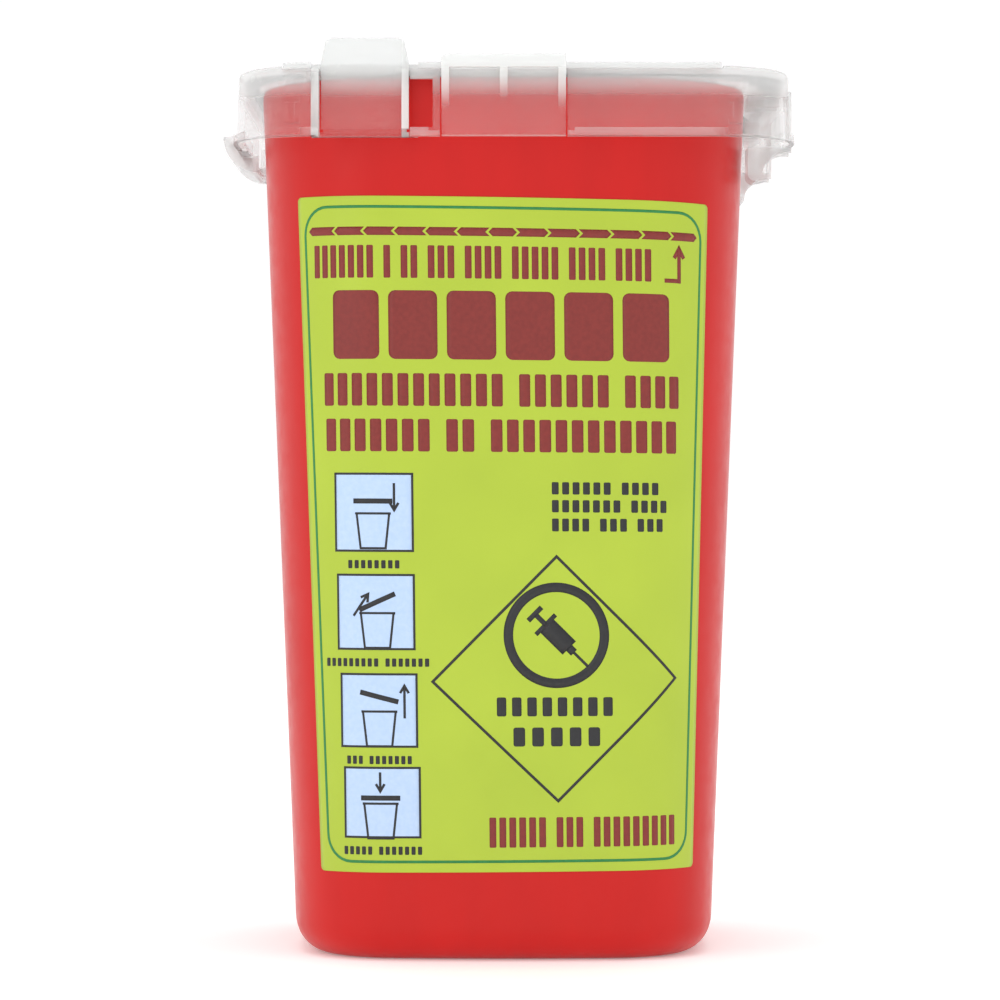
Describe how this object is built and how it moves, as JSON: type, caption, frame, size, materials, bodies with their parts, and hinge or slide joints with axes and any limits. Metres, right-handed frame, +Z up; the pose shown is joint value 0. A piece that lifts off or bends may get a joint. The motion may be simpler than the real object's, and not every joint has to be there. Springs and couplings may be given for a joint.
{
  "type": "sharps container",
  "caption": "Tapered square tub with a printed front label and a translucent press-on lid that has a hinged drop flap and a sprung latch tongue.",
  "frame": {"origin": "middle of the tub's base, on the surface it stands on", "axes": "+Z up, -Y towards the labelled front, +X towards the side of the lid that has the two brackets"},
  "size_m": [0.1047, 0.1019, 0.1646],
  "materials": {
    "red_polypropylene": "moulded, semi-gloss",
    "natural_polypropylene": "moulded, translucent, semi-gloss",
    "label_film": "printed gloss label"
  },
  "bodies": {
    "tub": {"tub": "red_polypropylene", "front_label": "label_film"},
    "lid": {"lid_frame": "natural_polypropylene", "flap_hinge": "natural_polypropylene", "tongue_hinge": "natural_polypropylene"},
    "flap": {"drop_flap": "natural_polypropylene"},
    "tongue": {"latch_tongue": "natural_polypropylene"}
  },
  "joints": [
    {"name": "lid_lift", "type": "slide", "parent": "tub", "child": "lid", "axis": [0, 0, 1], "range_m": [0, 0.04]},
    {"name": "flap_open", "type": "hinge", "parent": "lid", "child": "flap", "pos_m": [0, 0.0212, 0.15935], "axis": [-1, 0, 0], "range_deg": [0, 110], "deforming": ["flap_hinge"]},
    {"name": "tongue_flex", "type": "hinge", "parent": "lid", "child": "tongue", "pos_m": [-0.0246, -0.0467, 0.14815], "axis": [1, 0, 0], "range_deg": [0, 12], "stiffness_Nm_per_rad": 0.05, "deforming": ["tongue_hinge"]}
  ]
}
